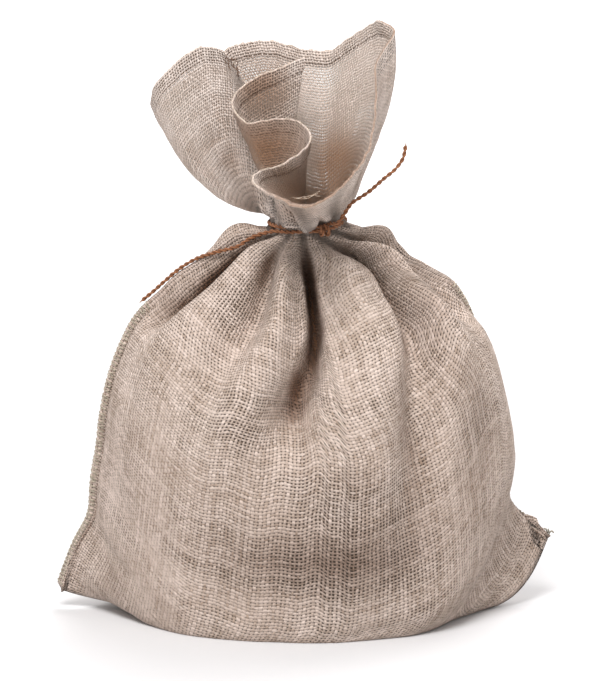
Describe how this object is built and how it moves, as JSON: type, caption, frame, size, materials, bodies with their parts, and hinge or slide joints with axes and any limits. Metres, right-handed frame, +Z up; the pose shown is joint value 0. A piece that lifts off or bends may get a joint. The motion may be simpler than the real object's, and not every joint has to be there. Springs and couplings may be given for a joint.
{
  "type": "burlap sack",
  "caption": "Filled burlap sack with a flat base, pointed corners, a gathered neck tied with twisted twine, and a ruffled open mouth.",
  "frame": {"origin": "on the floor under the middle of the filled body, at the base the sack stands on", "axes": "+Z up through the neck, -Y the front with the low lip of the mouth, +X to the side with the twine's free end"},
  "size_m": [0.2713, 0.1626, 0.328],
  "materials": {
    "burlap": "coarse open weave, matt",
    "twine_jute": "two-ply twisted, hairy, matt"
  },
  "bodies": {
    "root": {"sack_cloth": "burlap", "tie_twine": "twine_jute"}
  },
  "joints": []
}
